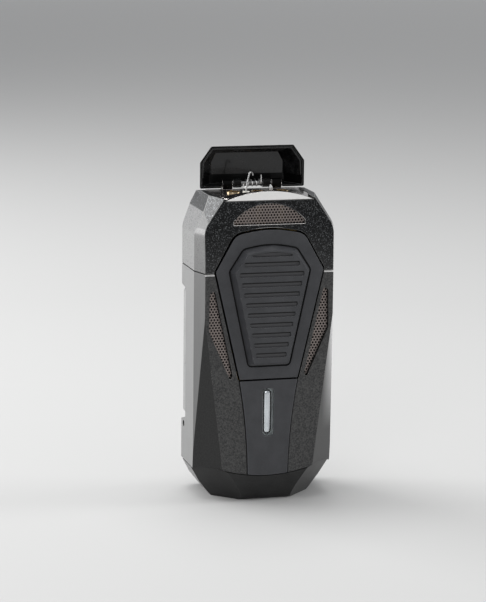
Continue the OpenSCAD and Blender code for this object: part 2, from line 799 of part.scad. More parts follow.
module groove(z) slab(pad_front - 1, pad_front + groove_depth) {
    h = pad_half_at(z) - groove_margin;
    polygon(rounded([
        [h, z - groove_w / 2, 0.3], [h, z + groove_w / 2, 0.3],
        [-h, z + groove_w / 2, 0.3], [-h, z - groove_w / 2, 0.3]
    ]));
}

module trigger_pin() color(steel) rod(-cheek_x[1], cheek_x[1], trigger_pin, trigger_pin_r);

spring_at = [6.6, trigger_pin[1] + 14];
spring_turns = 7;
module trigger_spring() color(steel) wire([
    for (i = [0:16 * spring_turns]) let (a = 22.5 * i) [
        spring_at[0] + 1.4 * cos(a),
        trigger_back + 0.35 + (chassis_back - web_t - trigger_back - 0.65) * i / (16 * spring_turns),
        spring_at[1] + 1.4 * sin(a)
    ]
], 0.25, [0, 1, 0]);

// Inner channel: two cheeks, a back web and a foot
press_slope = tan(trigger_swing);
module cheek_side() polygon([
    [trigger_back + 0.2, tank_top], [chassis_back, tank_top], [chassis_back, manifold_top - 14],
    [jet_y + manifold_half_d, manifold_top - 11], [jet_y + manifold_half_d, manifold_top],
    [jet_y - manifold_half_d, manifold_top], [jet_y - manifold_half_d, manifold_top - 6],
    [trigger_back + 0.6 + press_slope * 26, manifold_top - 8],
    [trigger_back + 0.6 + press_slope * 4.5, trigger_pin[1] + 4.5],
    [trigger_back + 0.2, trigger_pin[1] + 3.2]
]);

module chassis() color([0.3, 0.3, 0.32]) difference() {
    union() {
        both_x() across(cheek_x[0], cheek_x[1]) cheek_side();
        translate([-cheek_x[0], chassis_back - web_t, tank_top])
            cube([2 * cheek_x[0], web_t, manifold_top - 14 - tank_top]);
        translate([-cheek_x[0], piezo_y - piezo_size[1] / 2 - 0.4, tank_top])
            cube([2 * cheek_x[0], chassis_back - piezo_y + piezo_size[1] / 2 + 0.4, 1.5]);
    }
    rod(-far, far, trigger_pin, trigger_pin_r);
    rod(-far, 0, lever_pin, lever_pin_r);
    translate([stem_x, stem_y, tank_top - 1]) cylinder(r = 2.2, h = 4);
}

module piezo_body() color([0.1, 0.1, 0.11]) difference() {
    translate([piezo_x - piezo_size[0] / 2, piezo_y - piezo_size[1] / 2, piezo_foot])
        cube([piezo_size[0], piezo_size[1] - 0.1, piezo_top - piezo_foot]);
    translate([piezo_x - plunger_size[0] / 2 - run, piezo_y - plunger_size[1] / 2 - run, piezo_top - 8])
        cube([plunger_size[0] + 2 * run, plunger_size[1] + 2 * run, 9]);
}

module piezo_plunger() color([0.75, 0.72, 0.62])
    across(piezo_x - plunger_size[0] / 2, piezo_x + plunger_size[0] / 2) polygon([
        [piezo_y - plunger_size[1] / 2, piezo_top - 3.6], [piezo_y + plunger_size[1] / 2, piezo_top - 3.6],
        [piezo_y + plunger_size[1] / 2, cam_point[1] + 3.2],
        [cam_point[0] + 3.2 / cam_rise, cam_point[1] + 3.2],
        [
            piezo_y - plunger_size[1] / 2,
            cam_point[1] + (piezo_y - plunger_size[1] / 2 - cam_point[0]) * cam_rise
        ]
    ]);

module ignition_lead() color([0.7, 0.1, 0.08]) wire([
    [piezo_x - 1.5, chassis_back + 0.8, piezo_top + 6], [piezo_x - 2.5, chassis_back + 1.5, piezo_top + 8.5],
    [-post_x - 0.5, jet_y + 4.2, manifold_top - 6], [-post_x - 0.3, jet_y + 4.4, manifold_top - 2],
    [-post_x, jet_y + 4.2, manifold_top + 2], [-post_x, jet_y + 2.5, manifold_top + 4.5],
    [-post_x, jet_y + 0.8, manifold_top + 5.2]
], 0.45, [1, 0, 0]);

// Bell crank that lifts the gas valve when the trigger reaches it
module gas_lever() color(steel) difference() {
    union() {
        rod(lever_tine_x[0], lever_arm_x[1], lever_pin, 1.1);
        across(lever_arm_x[0], lever_arm_x[1]) {
            lever_arm();
            lever_tine();
        }
        across(lever_tine_x[0], lever_tine_x[1]) lever_tine();
    }
    rod(-far, far, lever_pin, lever_pin_r + run);
}

module lever_arm() polygon([
    [lever_pin[0] - 0.9, lever_pin[1] + 0.6], [lever_pin[0] + 0.9, lever_pin[1] + 0.6],
    [lever_nose[0] + 0.6, lever_nose[1] + 0.6], [lever_nose[0] - 0.5, lever_nose[1] + 0.5],
    [lever_nose[0] - 0.6, lever_nose[1] - 0.5]
]);

module lever_tine() polygon([
    [lever_pin[0], lever_pin[1] - 1.2], [lever_pin[0], lever_pin[1] + 0.4],
    [stem_y + 1.2, collar_z - 0.15], [stem_y - 0.8, collar_z - 0.15], [stem_y - 0.8, collar_z - 0.9]
]);

module lever_pin() color(steel) rod(-cheek_x[1], lever_arm_x[1] + 0.6, lever_pin, lever_pin_r);

module valve_body() color(brass) translate([stem_x, stem_y, 0]) difference() {
    union() {
        translate([0, 0, tank_top - 4]) cylinder(r = 1.6, h = 5);
        translate([0, 0, tank_top]) cylinder(r = 2.1, h = 1.2);
        translate([0, 0, tank_top]) cylinder(r = 1.2, h = 3);
    }
    translate([0, 0, tank_top]) cylinder(r = stem_r + run, h = 5);
}

module valve_stem() color(steel) translate([stem_x, stem_y, 0]) {
    translate([0, 0, tank_top + 0.6]) cylinder(r = stem_r, h = collar_z + 3.6 - tank_top - 0.6);
    translate([-2.2, -0.6, collar_z]) cube([4.4, 1.2, 0.8]);
}

module gas_tube() color([0.85, 0.85, 0.8]) {
    translate([stem_x, stem_y, tube_foot]) difference() {
        cylinder(r = 1.2, h = 4);
        translate([0, 0, -1]) cylinder(r = stem_r + run, h = 4);
    }
    wire([
        [stem_x, stem_y, tube_foot + 3.6], [stem_x, stem_y + 0.3, tube_foot + 5.5],
        [stem_x, stem_y + 1.2, tube_foot + 7.5], [stem_x, stem_y + 2.6, tube_foot + 10],
        [stem_x, stem_y + 3.4, tube_foot + 13], [stem_x, jet_y - 1.4, manifold_top - manifold_h - 5],
        [stem_x, jet_y - 0.6, manifold_top - manifold_h - 2],
        [stem_x, jet_y - 0.5, manifold_top - manifold_h - 0.1]
    ], tube_r, [1, 0, 0]);
}

tank_bottom = floor_z;
module fuel_tank() color([0.85, 0.87, 0.85]) difference() {
    intersection() {
        case_form(wall + 0.3);
        levels(tank_bottom, tank_top);
    }
    recess(wall + 0.3);
    intersection() {
        case_form(wall + 1.4);
        levels(tank_bottom + 1.2, tank_top - 1.2);
        difference() {
            levels(tank_bottom, tank_top);
            recess(wall + 1.4);
        }
    }
    translate([stem_x, stem_y, tank_top - 5]) cylinder(r = 1.6, h = 8);
    translate([refill_x, 0, tank_bottom - 2]) cylinder(r = 1.5, h = 4);
}

module refill_body() color(brass) translate([refill_x, 0, 0]) difference() {
    union() {
        translate([0, 0, 0.6]) cylinder(r = refill_r, h = tank_bottom - 0.6);
        translate([0, 0, tank_bottom]) cylinder(r = 1.5, h = 2);
    }
    translate([0, 0, -1]) cylinder(r = 0.8 + run, h = tank_bottom + 2);
    translate([0, 0, -1]) cylinder(r = 1.5, h = 2.6);
}

module refill_stem() color(steel) translate([refill_x, 0, 0.9]) cylinder(r = 0.8, h = 6.5);

module refill_seal() color([0.08, 0.08, 0.08]) translate([refill_x, 0, tank_bottom - 0.5])
    rotate_extrude() translate([refill_r + 0.4, 0]) circle(r = 0.4, $fn = 24);

module flame_dial() color(brass) translate([dial_x, 0, 0]) difference() {
    union() {
        translate([0, 0, 0.5]) cylinder(r = dial_r, h = 2.6);
        translate([0, 0, 0.5]) cylinder(r = 1.1, h = tank_bottom - 0.7);
    }
    translate([-dial_r, -0.4, 0]) cube([2 * dial_r, 0.8, 1.3]);
    for (a = [0:15:345])
        rotate([0, 0, a]) translate([dial_r, 0, 0]) cylinder(r = 0.15, h = 4, $fn = 16);
}

module base_screws() color(steel) for (y = [-screw_y, screw_y]) translate([0, y, 0]) difference() {
    union() {
        translate([0, 0, 0.2]) cylinder(r = 1.5, h = 1);
        translate([0, 0, 1.2]) cylinder(r = 0.8, h = tank_bottom - 1.2);
    }
    translate([-2, -0.2, 0]) cube([4, 0.4, 0.7]);
}

module leaf() color(steel) difference() {
    union() {
        slab(leaf_front, leaf_front + leaf_t) polygon(rounded([
            [leaf_half, leaf_low, 1], [leaf_half, leaf_top, 0.8],
            [-leaf_half, leaf_top, 0.8], [-leaf_half, leaf_low, 1]
        ]));
        slab(leaf_front, leaf_front + leaf_t)
            translate([-tail_half, leaf_pin[1]]) square([2 * tail_half, leaf_low - leaf_pin[1] + 1]);
        rod(-tail_half, tail_half, leaf_pin, leaf_t / 2);
    }
    rod(-far, far, leaf_pin, leaf_pin_r + run);
    translate([0, 0, hole_z]) rotate([-90, 0, 0]) cylinder(r = leaf_hole_r, h = 20, $fn = 96);
    translate([0, leaf_front + leaf_t + 3, leaf_top])
        rotate([0, 90, 0]) cylinder(r = 4.4, h = 9, center = true);
    rivets(0.7, leaf_t + 2);
}

module rivets(r, l) for (x = [-10.5, 10.5])
    translate([x, leaf_front + blade_t - 0.4, hole_z + 9]) rotate([-90, 0, 0]) cylinder(r = r, h = l);

module leaf_blade() color([0.8, 0.8, 0.82]) difference() {
    slab(leaf_front - 0.2, leaf_front) polygon([
        [12.5, hole_z + 2], [12.5, hole_z + 11], [-12.5, hole_z + 11], [-12.5, hole_z + 2], [0, hole_z + 5]
    ]);
    rivets(0.7, 3);
}

module leaf_rivets() color(brass) rivets(0.7, leaf_t - blade_t + 0.4);

module leaf_pin() color(steel) rod(-half_w + 0.3, half_w - 0.3, leaf_pin, leaf_pin_r);

head_shell();
housing();
bottom_cap();
front_panel();
window_lens();
head_vent_mesh();
left_vent_mesh();
right_vent_mesh();
burner_deck();
jet_left();
jet_centre();
jet_right();
manifold();
electrode();
insulator();
ground_post();
ignition_lead();
lid_shell();
lid_liner();
lid_pin();
lid_spring();
trigger_frame();
thumb_pad();
trigger_pin();
trigger_spring();
chassis();
piezo_body();
piezo_plunger();
gas_lever();
lever_pin();
valve_body();
valve_stem();
gas_tube();
fuel_tank();
refill_body();
refill_stem();
refill_seal();
flame_dial();
base_screws();
leaf();
leaf_blade();
leaf_rivets();
leaf_pin();
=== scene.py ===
import math

import bmesh
import bpy
from mathutils import Matrix, Vector


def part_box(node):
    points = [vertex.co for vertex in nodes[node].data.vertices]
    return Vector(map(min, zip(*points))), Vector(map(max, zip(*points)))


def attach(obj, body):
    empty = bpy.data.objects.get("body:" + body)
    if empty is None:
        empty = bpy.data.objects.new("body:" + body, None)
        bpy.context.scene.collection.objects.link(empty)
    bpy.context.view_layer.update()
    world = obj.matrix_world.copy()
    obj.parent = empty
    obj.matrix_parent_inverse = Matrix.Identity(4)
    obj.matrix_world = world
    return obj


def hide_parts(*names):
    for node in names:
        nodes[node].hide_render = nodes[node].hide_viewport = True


# Torch lighter with three jets: the CAD frame gets its finishes and softened edges here, and
# the perforated sheets and the tube behind the fuel window are modelled over it.
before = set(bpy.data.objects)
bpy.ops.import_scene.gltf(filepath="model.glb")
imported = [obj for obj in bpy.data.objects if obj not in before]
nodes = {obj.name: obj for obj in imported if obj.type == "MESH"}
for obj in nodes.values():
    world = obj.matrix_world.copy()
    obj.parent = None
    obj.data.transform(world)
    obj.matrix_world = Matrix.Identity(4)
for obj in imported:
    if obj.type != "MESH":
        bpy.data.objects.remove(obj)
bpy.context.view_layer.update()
mm = 0.001
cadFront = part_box("housing")[0].y


camera = {
    "turn": 15.18,              # degrees to the left of the front
    "tilt": 10.97,              # degrees above the horizon
    "roll": -0.579,
    "aim": (0, 0, 37.5),        # mm
    "aside": (3.630, -9.0),     # mm, where the aim falls in the view
    "distance": 577.25,         # mm
    "lens": 143.52,
}


def makeCamera(c):
    turn, tilt, roll = (math.radians(c[k]) for k in ("turn", "tilt", "roll"))
    forward = Vector((math.sin(turn) * math.cos(tilt), math.cos(turn) * math.cos(tilt), -math.sin(tilt)))
    right = Vector((math.cos(turn), -math.sin(turn), 0))
    up = right.cross(forward)
    place = Vector(c["aim"]) - right * c["aside"][0] - up * c["aside"][1] - forward * c["distance"]
    across = right * math.cos(roll) - up * math.sin(roll)
    upright = right * math.sin(roll) + up * math.cos(roll)
    data = bpy.data.cameras.new("camera")
    data.lens = c["lens"]
    data.sensor_width = 36
    data.clip_start = 0.01
    data.clip_end = 100
    obj = bpy.data.objects.new("camera", data)
    bpy.context.scene.collection.objects.link(obj)
    axes = Matrix((across, upright, -forward)).transposed()
    obj.matrix_world = Matrix.Translation(place * mm) @ axes.to_4x4()
    bpy.context.scene.camera = obj


makeCamera(camera)

studio = {
    "floorSize": 12,
    "floorColor": (0.50, 0.50, 0.495),
    "farColor": (0.97, 0.97, 0.96),
    "wallColor": (0.93, 0.94, 0.96),
    "wallStrength": 0.44,
    # name: place and aim in m, width, height, power in W
    "lamps": {
        "sideSoftbox": ((-0.55, 0.42, 0.26), (0, 0, 0.04), 0.60, 0.60, 6.5),
        "topSoftbox": ((-0.05, 0.10, 0.60), (0, 0, 0.05), 0.50, 0.36, 2.6),
        "frontSoftbox": ((-0.32, -0.60, 0.42), (0, 0, 0.04), 0.34, 0.34, 1.0),
        "rightStrip": ((0.55, -0.06, 0.20), (0, 0, 0.04), 0.16, 0.50, 1.6),
    },
}


def makeStudio(s):
    world = bpy.data.worlds.new("studio")
    bpy.context.scene.world = world
    world.use_nodes = True
    sky = world.node_tree.nodes["Background"]
    sky.inputs["Color"].default_value = (*s["wallColor"], 1)
    sky.inputs["Strength"].default_value = s["wallStrength"]
    for name, (place, aim, wide, high, power) in s["lamps"].items():
        data = bpy.data.lights.new(name, "AREA")
        data.shape = "RECTANGLE"
        data.size = wide
        data.size_y = high
        data.energy = power
        lamp = bpy.data.objects.new(name, data)
        lamp.location = place
        lamp.rotation_euler = (Vector(aim) - Vector(place)).to_track_quat("-Z", "Y").to_euler()
        bpy.context.scene.collection.objects.link(lamp)
    bpy.context.scene.view_settings.view_transform = "Standard"
    print("studio ready")


makeStudio(studio)


class Link:
    # an output socket that adds Math nodes when it is used in an expression
    def __init__(self, finish, socket):
        self.finish = finish
        self.socket = socket

    def math(self, operation, *values):
        return self.finish.node("ShaderNodeMath", {"operation": operation}, dict(enumerate(values)))

    def __add__(self, other):
        return self.math("ADD", self, other)

    def __mul__(self, other):
        return self.math("MULTIPLY", self, other)

    def __sub__(self, other):
        return self.math("SUBTRACT", self, other)

    def __rsub__(self, other):
        return self.math("SUBTRACT", other, self)

    def __truediv__(self, other):
        return self.math("DIVIDE", self, other)

    def __pow__(self, other):
        return self.math("POWER", self, other)

    def __lt__(self, other):
        return self.math("LESS_THAN", self, other)

    def __gt__(self, other):
        return self.math("GREATER_THAN", self, other)

    __radd__ = __add__
    __rmul__ = __mul__


class Finish:
    def __init__(self, name, **fixed):
        self.material = bpy.data.materials.new(name)
        self.material.use_nodes = True
        self.tree = self.material.node_tree
        self.shader = self.tree.nodes["Principled BSDF"]
        for socket, value in fixed.items():
            self.set(socket.replace("_", " "), value)

    def node(self, kind, settings=None, inputs=None, output=0):
        made = self.tree.nodes.new(kind)
        for key, value in (settings or {}).items():
            setattr(made, key, value)
        for key, value in (inputs or {}).items():
            self.feed(made.inputs[key], value)
        return Link(self, made.outputs[output])

    def feed(self, socket, value):
        if isinstance(value, Link):
            self.tree.links.new(value.socket, socket)
        elif isinstance(value, tuple) and len(value) == 3 and len(socket.default_value) == 4:
            socket.default_value = (*value, 1)
        else:
            socket.default_value = value

    def set(self, name, value):
        self.feed(self.shader.inputs[name], value)

    def place(self, stretch=(1, 1, 1)):
        spot = self.node("ShaderNodeTexCoord", output="Object")
        if stretch == (1, 1, 1):
            return spot
        return self.node("ShaderNodeMapping", {}, {"Vector": spot, "Scale": stretch})

    # size is that of one spot, in mm
    def noise(self, size, detail=3, rough=0.55, stretch=(1, 1, 1)):
        return self.node("ShaderNodeTexNoise", {}, {
            "Vector": self.place(stretch), "Scale": 1 / (size * mm), "Detail": detail, "Roughness": rough,
        })

    def cells(self, size):
        return self.node("ShaderNodeTexVoronoi", {}, {"Vector": self.place(), "Scale": 1 / (size * mm)}, "Color")

    def xyz(self, vector):
        split = self.node("ShaderNodeSeparateXYZ", {}, {0: vector})
        return [Link(self, socket) for socket in split.socket.node.outputs]

    def spot(self):
        return self.xyz(self.place())

    def facing(self):
        return self.xyz(self.node("ShaderNodeTexCoord", output="Normal"))

    # limits in mm
    def within(self, value, low, high):
        return (value > low * mm) * (value < high * mm)

    def spread(self, value, low, high, newLow=0.0, newHigh=1.0):
        return self.node("ShaderNodeMapRange", {}, {
            "Value": value, "From Min": low, "From Max": high, "To Min": newLow, "To Max": newHigh,
        })

    def mix(self, share, first, second):
        return self.node("ShaderNodeMix", {"data_type": "RGBA"}, {0: share, 6: first, 7: second}, 2)

    # raised is the height of the relief in mm
    def relief(self, shape, raised, strength):
        self.set("Normal", self.node("ShaderNodeBump", {}, {
            "Height": shape, "Distance": raised * mm, "Strength": strength,
        }))


def grey(value):
    return (value, value, value)


# The case's paint seen face by face, with light and shade painted into its colour: satin sides
# painted pale as if lit, strips at the front edges painted darker, the left corner facet painted dark and
# the right one pale, and painted shade on the near-black walls and floors of every gap
caseLightAndShade = {
    # painted light: pale sides, darker strips, a dark left and a pale right corner facet
    "side": 0.23,
    "strip": 0.085,
    "leftFacet": 0.020,
    "rightFacet": 0.090,
    # painted highlight on the right corner facet, and painted shade in the gaps
    "glow": 0.85,
    "gap": 0.001,
    "gapStart": 0.35,           # mm behind the front face, for walls
    "pitStart": 0.7,            # mm behind the front face, for floors
    "gapEnd": -5,               # mm, depth where the gaps end
    "gapTop": 66.5,             # mm
    "gapHalf": 14.8,            # mm, half width that holds the walls
    "pitHalf": 11,              # mm, half width that holds the floors
    "lean": 0.052,              # how much the head's front leans back for its height
    "glowAcross": (13.5, 16.5),     # mm
    "glowUp": (16, 42),         # mm
}


def paintLightAndShadeByFace(f, color, metallic, rough):
    p = caseLightAndShade
    x, y, z = f.spot()
    nx, ny, nz = f.facing()
    steep = nx * nx
    side = (steep > 0.5) * (x * x > (p["gapHalf"] * mm) ** 2)
    strip = side * (ny < -0.12)
    facet = (steep > 0.08) * (steep < 0.5) * (ny < -0.4)
    streak = f.noise(0.5, 3, 0.6, (1, 1, 0.05))
    haze = f.noise(4, 3)
    # painted light and shade by face: left facet darker, right facet paler, sides paler, front strips darker and
    # darkest where they face up
    color = f.mix(facet * (nx < 0) * 0.8, color, grey(p["leftFacet"]))
    color = f.mix(facet * (nx > 0) * (0.55 + streak * 0.4), color, grey(p["rightFacet"]))
    color = f.mix(side * (0.80 + haze * 0.2), color, grey(p["side"]))
    color = f.mix(strip * (0.80 + streak * 0.2), color, grey(p["strip"]))
    color = f.mix(strip * (nz > 0.3) * 0.8, color, grey(p["strip"] * 0.25))
    # painted highlight: the right corner facet is painted paler near its top and its outer edge, where it catches
    # the light
    glow = f.spread(x, *(v * mm for v in p["glowAcross"])) * f.spread(z, *(v * mm for v in p["glowUp"]))
    color = f.mix(facet * (nx > 0) * glow, color, grey(p["glow"]))
    # painted shade: walls and floors behind the front face, inside the gaps, are painted near black
    depth = y - z.math("MAXIMUM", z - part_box("head_shell")[0].z, 0.0) * p["lean"]
    held = (y < p["gapEnd"] * mm) * (z < p["gapTop"] * mm)
    wall = (depth > cadFront + p["gapStart"] * mm) * held * (ny > -0.3) * (x * x < (p["gapHalf"] * mm) ** 2)
    pit = (depth > cadFront + p["pitStart"] * mm) * held * (x * x < (p["pitHalf"] * mm) ** 2)
    color = f.mix(wall, color, grey(p["gap"]))
    color = f.mix(pit, color, grey(p["gap"]))
    open = (1 - wall) * (1 - pit)
    f.set("Metallic", metallic * (1 - side) * open + side * 0.35)
    f.set("Roughness", rough * open * (1 - side * 0.25) + (1 - open) * 0.9)
    return color


flakePaint = {
    "dark": (0.0045, 0.005, 0.0055),
    "flake": (0.26, 0.27, 0.28),
    "flakeSize": 0.15,          # mm
    "flakeShare": 0.20,
    "lowShade": 0.034,          # paler towards the seam
}


def makeFlakePaint(name, edgeWearAndLight=False):
    f = Finish(name, Coat_Weight=0.18, Coat_Roughness=0.12, Specular_IOR_Level=0.3)
    p = flakePaint
    lid = name.startswith("lid")
    tone = f.node("ShaderNodeSeparateColor", {}, {0: f.cells(p["flakeSize"])}, 0)
    turned = f.node("ShaderNodeSeparateColor", {}, {0: f.cells(p["flakeSize"])}, 1)
    flake = f.spread(tone, 1 - p["flakeShare"], 1.0)
    low = f.spread(f.spot()[2], 0.056, 0.066, 1.0, 0.0)
    cloud = f.noise(3.5, 4)
    ground = f.mix(low * (0.4 + cloud * 0.6), p["dark"], grey(p["lowShade"]))
    color = f.mix(flake * (0.35 + turned * 0.65), ground, p["flake"])
    metallic = 0.5 + flake * 0.4
    rough = 0.44 - flake * 0.16 + (cloud - 0.5) * 0.12
    if edgeWearAndLight:
        color = f.mix(0.2 + f.noise(0.5) * 0.4, color, (0.42, 0.42, 0.41))
    # painted highlight: on the edge finish, the bevels along the bottom of the head's vent and at its lower right
    # corner are painted near white
    if edgeWearAndLight and not lid:
        x, y, z = f.spot()
        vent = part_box("head_vent_mesh")
        above = (z > vent[0].z - 1 * mm) * (y < -9 * mm)
        sill = (z < vent[0].z + 1.3 * mm) * (x * x < (vent[1].x + 0.6 * mm) ** 2)
        heel = (x > vent[1].x - 1.6 * mm) * (x < vent[1].x + 0.6 * mm) * (z < vent[0].z + 2.6 * mm)
        color = f.mix(above * (sill + heel > 0), color, (0.90, 0.87, 0.85))
    if lid:
        inner = f.facing()[1] < -0.4
        color = f.mix(inner, color, (0.42, 0.42, 0.42) if edgeWearAndLight else (0.002, 0.002, 0.002))
        f.set("Metallic", metallic)
        f.set("Roughness", rough)
    else:
        color = paintLightAndShadeByFace(f, color, metallic, rough)
    f.set("Base Color", color)
    f.relief(tone + f.noise(0.12) * 0.5, 0.012, 0.4)
    return f.material


powderCoat = {
    "dark": (0.036, 0.036, 0.037),
    "pale": (0.130, 0.130, 0.127),
    "grain": 0.34,              # mm
}


def makePowderCoat(name, edgeWearAndLight=False):
    f = Finish(name, Specular_IOR_Level=0.35)
    p = powderCoat
    grain = f.noise(p["grain"], 4, 0.65)
    patch = f.noise(6, 3)
    speck = f.spread(f.noise(p["grain"] * 0.6, 2, 0.5), 0.58, 0.72)
    color = f.mix(f.spread(grain, 0.38, 0.64) * 0.7 + speck * 0.5, p["dark"], p["pale"])
    color = f.mix((patch - 0.4) * 0.5, color, (0.06, 0.06, 0.06))
    x, y, z = f.spot()
    if edgeWearAndLight:
        color = f.mix(0.2 + f.noise(0.7) * 0.4, color, (0.30, 0.30, 0.29))
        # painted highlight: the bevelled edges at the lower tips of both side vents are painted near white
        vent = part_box("left_vent_mesh")
        tip = (z < vent[0].z + 2.2 * mm) * (y < -9 * mm) * (z > vent[0].z - 1 * mm)
        tip = tip * (x * x < (-vent[0].x) ** 2) * (x * x > (7.4 * mm) ** 2)
        color = f.mix(tip, color, (0.80, 0.78, 0.76))
    color = paintLightAndShadeByFace(f, color, 0.35 + grain * 0.2, 0.42 + grain * 0.22)
    # painted highlight: near white on the seam's bevel beside the trigger, where it reflects the light
    seamHighlight = (f.facing()[2] > 0.25) * f.within(z, 54.2, 56) * (y < -9.2 * mm)
    seamHighlight = seamHighlight * (x * x > (13.1 * mm) ** 2) * (x * x < (15.7 * mm) ** 2)
    f.set("Base Color", f.mix(seamHighlight, color, (0.92, 0.91, 0.90)))
    f.relief(grain, 0.022, 0.5)
    return f.material


# mm, as modelled in the pad
padGrooves = {"pitch": 2.42, "height": 1.15, "deep": 0.5, "lipHalf": 7.6, "lipTop": 60.5}


def grooveStart(g):
    pad = nodes["thumb_pad"].data
    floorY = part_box("thumb_pad")[0].y + g["deep"] * mm
    heights = [
        pad.vertices[i].co.z for face in pad.polygons
        if face.normal.y < -0.9 and abs(face.center.y - floorY) < 0.1 * mm for i in face.vertices
    ]
    return min(heights)


padGrooves["start"] = grooveStart(padGrooves)

softPlastics = {
    # name: color, roughness, grain size and depth in mm, variation
    "cap_coat": ((0.010, 0.010, 0.010), 0.40, 0.30, 0.010, 0.25),
    "slate_plastic": ((0.040, 0.041, 0.045), 0.46, 0.16, 0.008, 0.22),
    "frame_plastic": ((0.036, 0.036, 0.039), 0.5, 0.35, 0.012, 0.3),
    "piezo_black": ((0.02, 0.02, 0.022), 0.3, 0.5, 0.006, 0.3),
    "plunger_acetal": ((0.58, 0.53, 0.42), 0.38, 0.4, 0.006, 0.1),
    "tube_nylon": ((0.66, 0.66, 0.58), 0.33, 0.6, 0.006, 0.12),
    "tank_plastic": ((0.55, 0.58, 0.56), 0.3, 0.8, 0.01, 0.15),
    "seal_rubber": ((0.02, 0.02, 0.02), 0.62, 0.2, 0.01, 0.3),
    "lead_red": ((0.42, 0.03, 0.02), 0.34, 0.5, 0.006, 0.2),
    "ceramic": ((0.80, 0.78, 0.72), 0.18, 0.5, 0.004, 0.08),
}


def makePlastic(name, edgeWearAndLight=False):
    base, rough, size, raised, varies = softPlastics[name.removesuffix("_edge")]
    f = Finish(name, Specular_IOR_Level=0.35 if max(base) < 0.1 else 0.5)
    grain = f.noise(size, 3, 0.6)
    patch = f.noise(9 * size + 2, 3)
    pale = tuple(min(1, c * (1 + 2 * varies) + 0.01) for c in base)
    color = f.mix(f.spread(grain, 0.3, 0.7) * 0.45 + f.spread(patch, 0.35, 0.65) * 0.4, base, pale)
    if edgeWearAndLight:
        color = f.mix(0.35 + f.noise(0.8) * 0.3, color, tuple(c * 2.2 + 0.02 for c in base))
    if name.startswith(("slate", "frame")):
        x, y, z = f.spot()
        nx, ny, nz = f.facing()
        front = (x * x < (14 * mm) ** 2) * (y < -5 * mm)
        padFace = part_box("thumb_pad")[0].y + 0.3 * mm
        groove = (y < cadFront - 0.9 * mm) * (y > padFace) * (ny < -0.9)
        rung = z.math("FRACT", (z - padGrooves["start"]) / (padGrooves["pitch"] * mm))
        top = padGrooves["height"] / padGrooves["pitch"]
        lip = (y < padFace) * (x * x < (padGrooves["lipHalf"] * mm) ** 2) * (z < padGrooves["lipTop"] * mm)
        # groove floors painted paler than the pad, with painted shade near black over the upper part of each
        # floor, under its wall
        color = f.mix(groove, color, (0.070, 0.070, 0.074))
        color = f.mix(groove * (rung > top * 0.66), color, (0.002, 0.002, 0.002))
        if edgeWearAndLight:
            # painted shade along the bevel at each groove's top, and a painted highlight along the bevel at its
            # bottom
            color = f.mix(lip * (rung > top * 0.7) * (rung < top * 1.3), color, (0.006, 0.006, 0.006))
            color = f.mix(lip * ((rung > 0.9) + (rung < 0.1)), color, (0.34, 0.34, 0.35))
        # painted shade: faces set back behind the front, in the gaps around the trigger and panel, painted near
        # black
        color = f.mix(front * (y > cadFront) * (ny > -0.3), color, grey(caseLightAndShade["gap"]))
        color = f.mix(front * (y > cadFront + 0.2 * mm), color, grey(caseLightAndShade["gap"]))
    if name.startswith("cap"):
        # painted light: the cap's right corner facet is painted paler and its side faces paler still, as if lit
        nx, ny, nz = f.facing()
        color = f.mix((nx * nx > 0.08) * (nx > 0) * (ny < -0.3) * 0.8, color, (0.05, 0.05, 0.05))
        color = f.mix(nx * nx > 0.6, color, (0.16, 0.16, 0.16))
    f.set("Base Color", color)
    f.set("Roughness", rough - 0.06 + grain * 0.08 + (patch - 0.5) * 0.16)
    f.relief(grain, raised, 0.6)
    return f.material


metals = {
    # name: color, roughness, stretch of the marks, mark size in mm, depth in mm
    "mesh_steel": ((0.36, 0.31, 0.29), 0.42, (1, 1, 1), 0.3, 0.004),
    "deck_chrome": ((0.72, 0.68, 0.66), 0.17, (0.12, 1, 1), 0.5, 0.008),
    "jet_brass": ((0.62, 0.50, 0.33), 0.26, (1, 1, 6), 0.5, 0.004),
    "valve_brass": ((0.60, 0.43, 0.18), 0.28, (1, 1, 6), 0.5, 0.004),
    "pin_steel": ((0.50, 0.50, 0.50), 0.27, (6, 1, 1), 0.5, 0.003),
    "spring_steel": ((0.42, 0.42, 0.42), 0.3, (1, 1, 1), 0.5, 0.003),
    "leaf_steel": ((0.46, 0.46, 0.46), 0.3, (0.06, 1, 1), 0.22, 0.004),
    "window_silver": ((0.90, 0.92, 0.94), 0.12, (1, 1, 0.04), 0.28, 0.02),
    "blade_steel": ((0.60, 0.60, 0.61), 0.2, (1, 1, 0.08), 0.25, 0.003),
}


def makeMetal(name, edgeWearAndLight=False):
    base, rough, stretch, size, raised = metals[name.removesuffix("_edge")]
    f = Finish(name, Metallic=1.0)
    marks = f.noise(size, 4, 0.6, stretch)
    haze = f.noise(5, 3)
    dull = tuple(c * 0.66 for c in base)
    color = f.mix(f.spread(marks, 0.3, 0.7) * 0.6 + f.spread(haze, 0.3, 0.7) * 0.3, dull, base)
    if edgeWearAndLight:
        color = f.mix(0.6, color, tuple(min(1, c * 1.25) for c in base))
    if name == "deck_chrome":
        x, y, z = f.spot()
        # painted shade: the hinge knuckles at the back of the deck are painted near black
        knuckle = (y > 6.3 * mm) * (x * x > (4.8 * mm) ** 2) * (x * x < (7.4 * mm) ** 2)
        color = f.mix(knuckle, color, (0.012, 0.012, 0.012))
        # painted reflection: the crest's front faces are painted near white and made mostly non-metallic,
        # standing in for the chrome's bright reflection
        crest = (f.facing()[1] < -0.3) * (y < 0)
        color = f.mix(crest, color, (0.96, 0.95, 0.94))
        f.set("Metallic", 1 - crest * 0.85)
    f.set("Base Color", color)
    f.set("Roughness", rough * 0.75 + marks * rough * 0.5 + (haze - 0.5) * 0.1)
    f.relief(marks, raised, 0.7)
    return f.material


